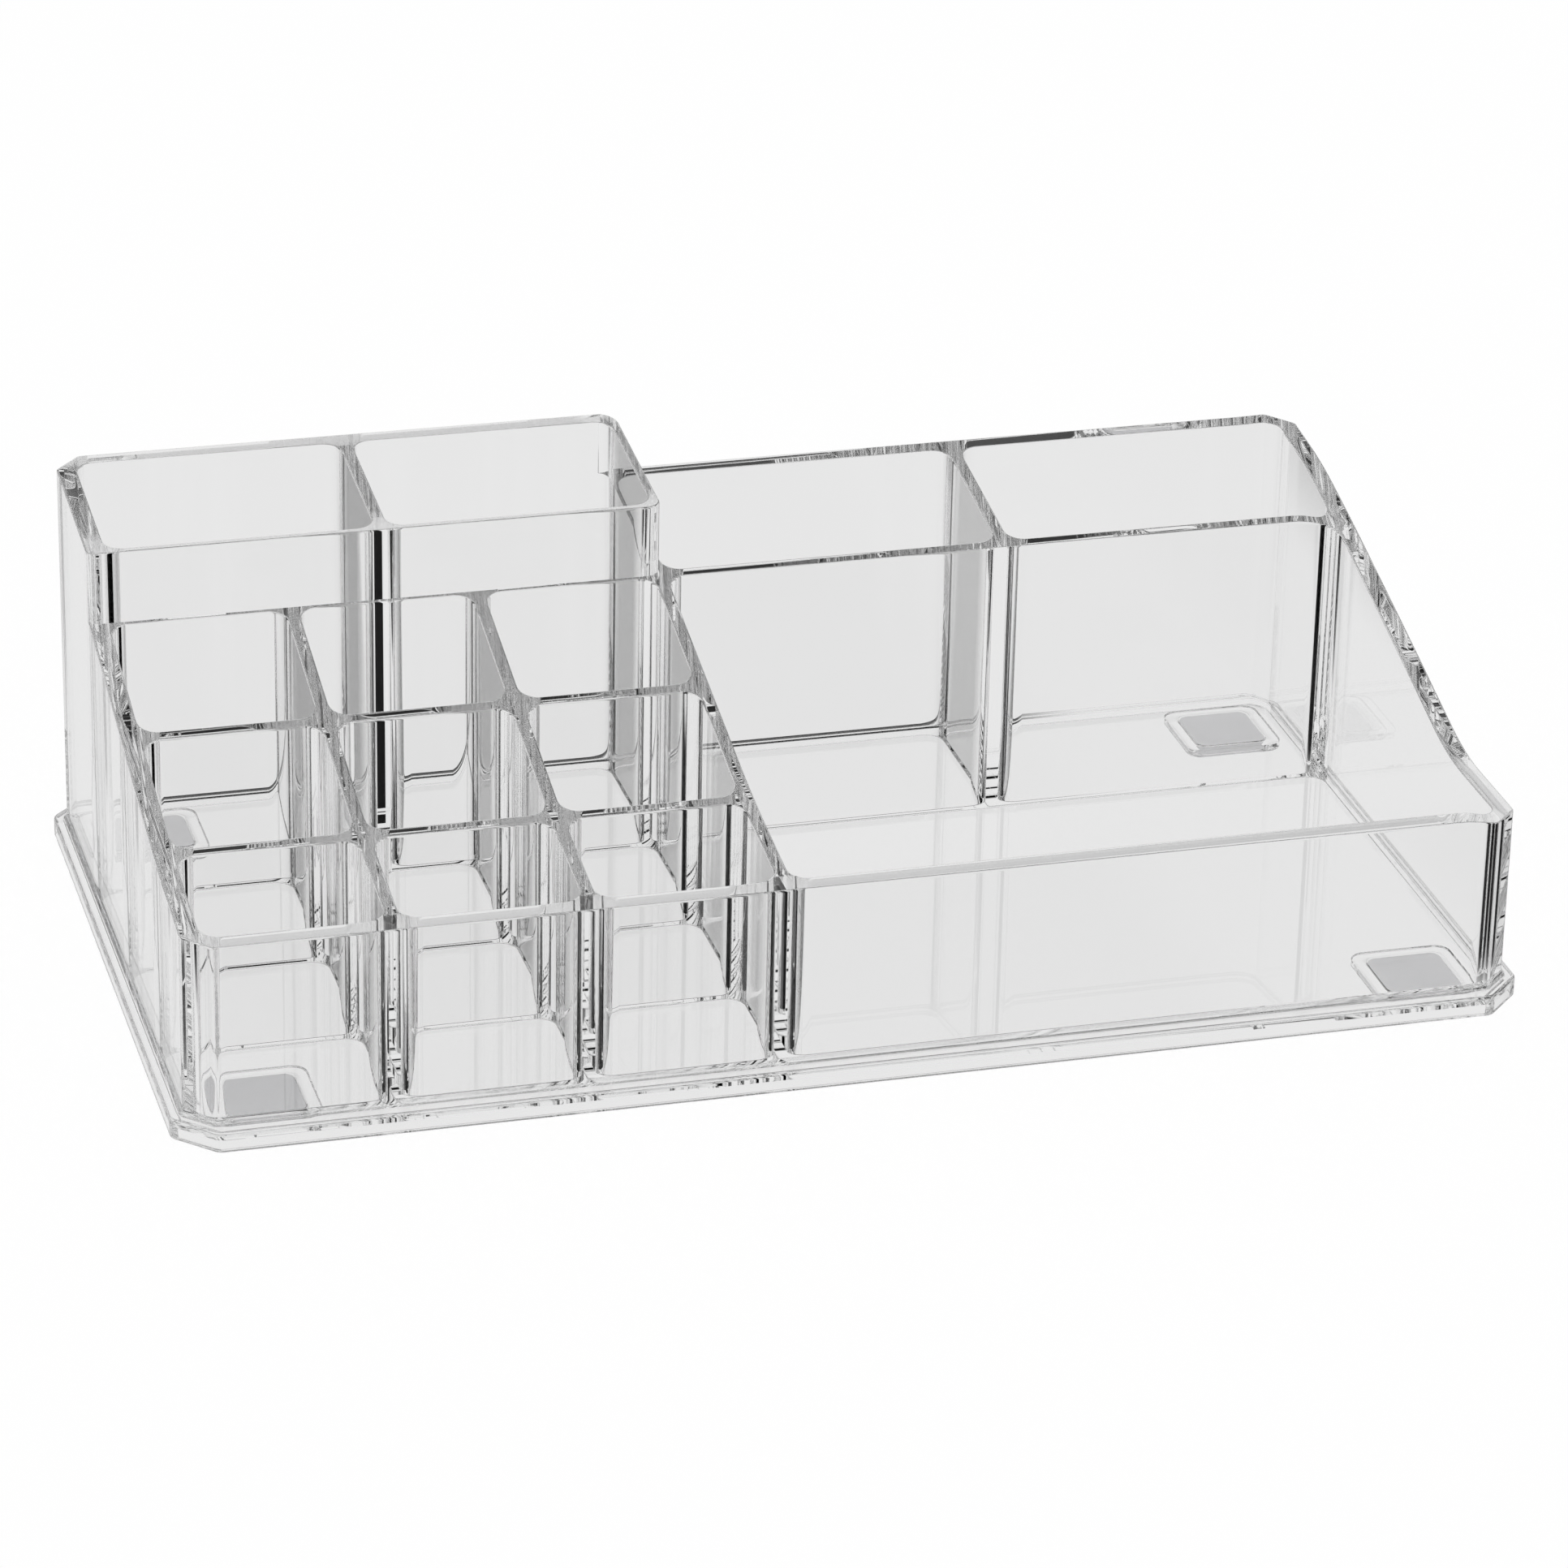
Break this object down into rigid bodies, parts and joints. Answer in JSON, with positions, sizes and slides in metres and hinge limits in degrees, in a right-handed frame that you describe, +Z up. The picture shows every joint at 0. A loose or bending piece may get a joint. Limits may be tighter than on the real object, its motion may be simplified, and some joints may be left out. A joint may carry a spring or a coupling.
{
  "type": "vanity organizer",
  "caption": "Clear open tray with upright compartments, a rim that steps down from back to front, a raised rear corner and soft foot pads.",
  "frame": {"origin": "on the supporting surface, under the centre of the base", "axes": "+X to the right seen from the front, +Y to the back, where the walls are taller, +Z up"},
  "size_m": [0.31, 0.175, 0.0951],
  "materials": {
    "clear_tray": "polished crystal-clear moulding, colourless",
    "foot_pad": "soft pale grey pad, satin"
  },
  "bodies": {
    "root": {"floor_plate": "clear_tray", "skirt_sides": "clear_tray", "skirt_corners": "clear_tray", "foot_sockets": "clear_tray", "front_wall": "clear_tray", "right_wall": "clear_tray", "left_wall_front": "clear_tray", "left_wall_collar": "clear_tray", "rear_wall_low": "clear_tray", "rear_wall_collar": "clear_tray", "cross_wall_low": "clear_tray", "cross_wall_collar": "clear_tray", "partition_front": "clear_tray", "partition_collar": "clear_tray", "row_wall_front": "clear_tray", "row_wall_back": "clear_tray", "column_divider_left_front": "clear_tray", "column_divider_left_middle": "clear_tray", "column_divider_left_back": "clear_tray", "column_divider_right_front": "clear_tray", "column_divider_right_middle": "clear_tray", "column_divider_right_back": "clear_tray", "tall_cell_divider": "clear_tray", "low_cell_divider": "clear_tray", "foot_pad_front_left": "foot_pad", "foot_pad_front_right": "foot_pad", "foot_pad_rear_left": "foot_pad", "foot_pad_rear_right": "foot_pad"}
  },
  "joints": []
}
